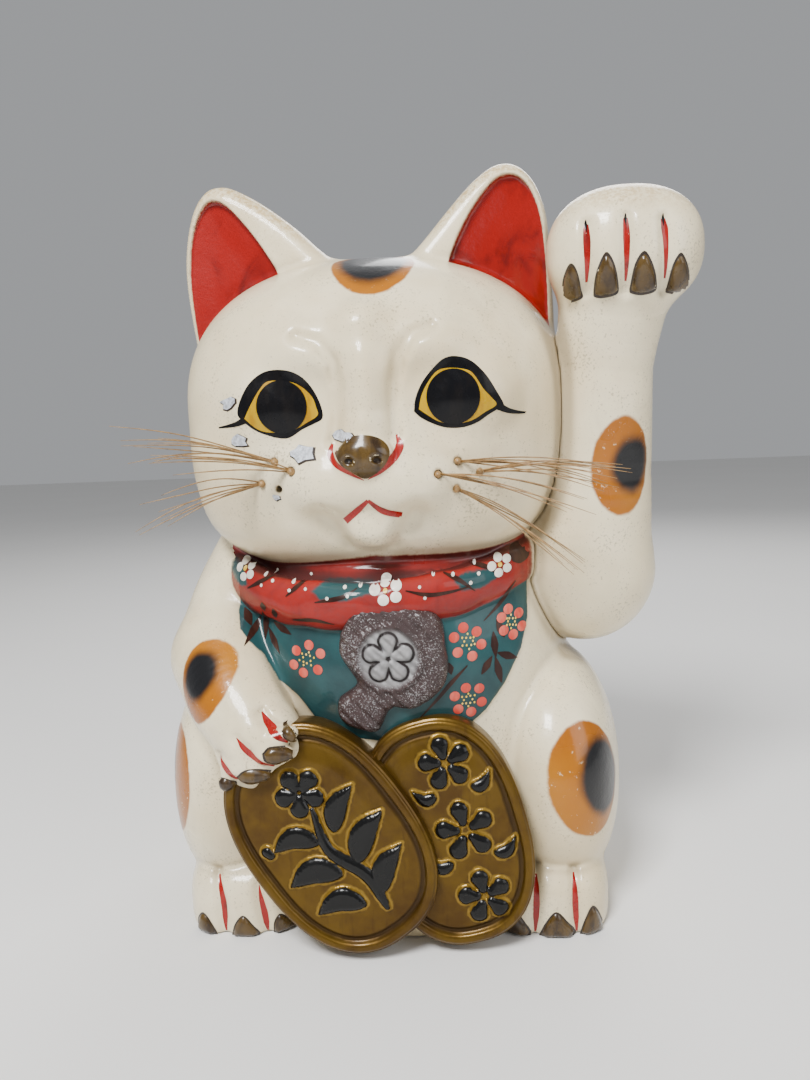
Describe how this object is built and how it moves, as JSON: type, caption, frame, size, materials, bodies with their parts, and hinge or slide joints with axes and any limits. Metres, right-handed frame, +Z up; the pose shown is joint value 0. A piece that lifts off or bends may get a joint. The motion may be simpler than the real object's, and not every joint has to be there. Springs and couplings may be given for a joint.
{
  "type": "beckoning cat coin bank",
  "caption": "Seated pottery beckoning cat with a raised paw, oval plaques, a charm and bristle whiskers; hollow, with a coin slot and base stopper.",
  "frame": {"origin": "on the underside of the base plate, midway between the feet and between the front and the back of the body", "axes": "+Z up, the cat faces -Y, +X towards its raised arm (the viewer's right)"},
  "size_m": [0.308, 0.2305, 0.4236],
  "materials": {
    "painted_pottery": "gloss",
    "gilt_pottery": "satin",
    "glitter_pottery": "satin",
    "bristle": "satin",
    "bare_pottery": "matte",
    "rubber": "matte"
  },
  "bodies": {
    "figure": {"front_shell": "painted_pottery", "back_shell": "painted_pottery", "raised_arm": "painted_pottery", "front_coin": "gilt_pottery", "rear_coin": "gilt_pottery", "mallet_charm": "glitter_pottery", "whisker_left_upper": "bristle", "whisker_left_inner": "bristle", "whisker_left_lower": "bristle", "whisker_right_inner": "bristle", "whisker_right_upper": "bristle", "whisker_right_outer": "bristle", "whisker_right_lower": "bristle", "base_plate": "bare_pottery"},
    "stopper": {"base_stopper": "rubber"}
  },
  "joints": [
    {"name": "stopper_pull", "type": "slide", "parent": "figure", "child": "stopper", "axis": [0, 0, -1], "range_m": [0, 0.03]}
  ]
}
